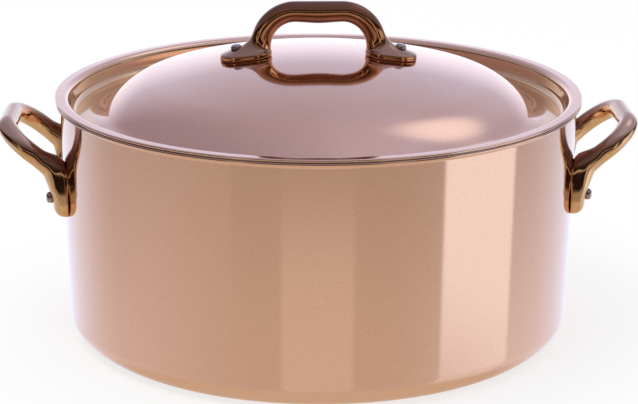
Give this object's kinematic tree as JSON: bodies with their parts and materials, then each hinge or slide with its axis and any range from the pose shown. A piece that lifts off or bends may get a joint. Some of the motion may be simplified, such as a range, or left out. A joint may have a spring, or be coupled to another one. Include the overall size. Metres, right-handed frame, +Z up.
{
  "type": "covered copper casserole",
  "caption": "Round copper casserole with a bonded steel lining, riveted cast loop handles and a lift-off domed lid that sets into the rim.",
  "frame": {"origin": "centre of the flat base, on the surface that the pot stands on", "axes": "+X through the right side handle, +Z up, +Y away from the viewer of the picture"},
  "size_m": [0.3508, 0.2894, 0.1843],
  "materials": {
    "copper": "polished copper",
    "lining_steel": "fine brushed steel",
    "bronze": "polished cast bronze",
    "rivet_steel": "polished steel"
  },
  "bodies": {
    "pot": {"pot_shell": "copper", "pot_lining": "lining_steel", "left_handle": "bronze", "right_handle": "bronze", "left_handle_front_rivet": "rivet_steel", "left_handle_rear_rivet": "rivet_steel", "right_handle_front_rivet": "rivet_steel", "right_handle_rear_rivet": "rivet_steel"},
    "lid": {"lid_shell": "copper", "lid_lining": "lining_steel", "lid_handle": "bronze", "lid_left_rivet": "rivet_steel", "lid_right_rivet": "rivet_steel"}
  },
  "joints": [
    {"name": "lid_lift", "type": "slide", "parent": "pot", "child": "lid", "axis": [0, 0, 1], "range_m": [0, 0.2]}
  ]
}
